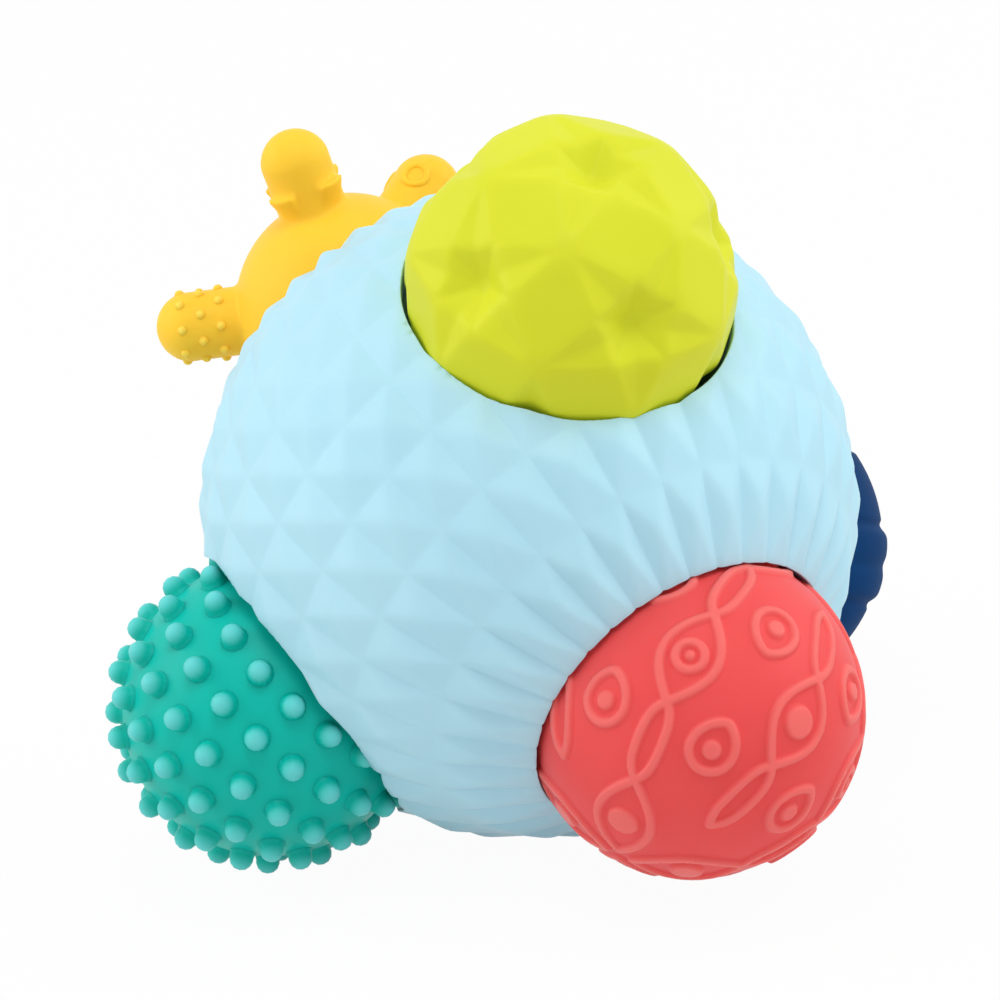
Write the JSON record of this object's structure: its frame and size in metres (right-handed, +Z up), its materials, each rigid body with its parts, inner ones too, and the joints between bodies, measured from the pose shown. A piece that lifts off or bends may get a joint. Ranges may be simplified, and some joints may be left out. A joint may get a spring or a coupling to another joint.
{
  "type": "sensory ball",
  "caption": "Soft hollow ball covered in raised diamonds, with round pockets that hold smaller textured balls which pull out by hand.",
  "frame": {"origin": "on the floor, straight below the big ball's centre", "axes": "+Z up, -Y towards the pictured side, +X to its right"},
  "size_m": [0.1828, 0.1892, 0.1732],
  "materials": {
    "blue_vinyl": "satin",
    "red_vinyl": "satin",
    "lime_vinyl": "satin",
    "teal_vinyl": "satin",
    "navy_vinyl": "satin",
    "yellow_vinyl": "satin"
  },
  "bodies": {
    "big_ball": {"big_ball_skin": "blue_vinyl", "big_ball_plug": "blue_vinyl"},
    "red_ball": {"red_ball_skin": "red_vinyl", "red_ball_plug": "red_vinyl"},
    "lime_ball": {"lime_ball_skin": "lime_vinyl", "lime_ball_plug": "lime_vinyl"},
    "teal_ball": {"teal_ball_skin": "teal_vinyl", "teal_ball_plug": "teal_vinyl"},
    "navy_ball": {"navy_ball_skin": "navy_vinyl", "navy_ball_plug": "navy_vinyl"},
    "yellow_ball": {"yellow_ball_skin": "yellow_vinyl", "yellow_ball_plug": "yellow_vinyl"}
  },
  "joints": [
    {"name": "red_pull", "type": "slide", "parent": "big_ball", "child": "red_ball", "axis": [0.4453, -0.7838, -0.4328], "range_m": [0, 0.06]},
    {"name": "lime_pull", "type": "slide", "parent": "big_ball", "child": "lime_ball", "axis": [0.2138, -0.3763, 0.9015], "range_m": [0, 0.06]},
    {"name": "teal_pull", "type": "slide", "parent": "big_ball", "child": "teal_ball", "axis": [-0.8599, -0.2396, -0.4507], "range_m": [0, 0.06]},
    {"name": "navy_pull", "type": "slide", "parent": "big_ball", "child": "navy_ball", "axis": [0.6461, 0.6159, -0.4507], "range_m": [0, 0.06]},
    {"name": "yellow_pull", "type": "slide", "parent": "big_ball", "child": "yellow_ball", "axis": [-0.4453, 0.7838, 0.4328], "range_m": [0, 0.06]}
  ]
}
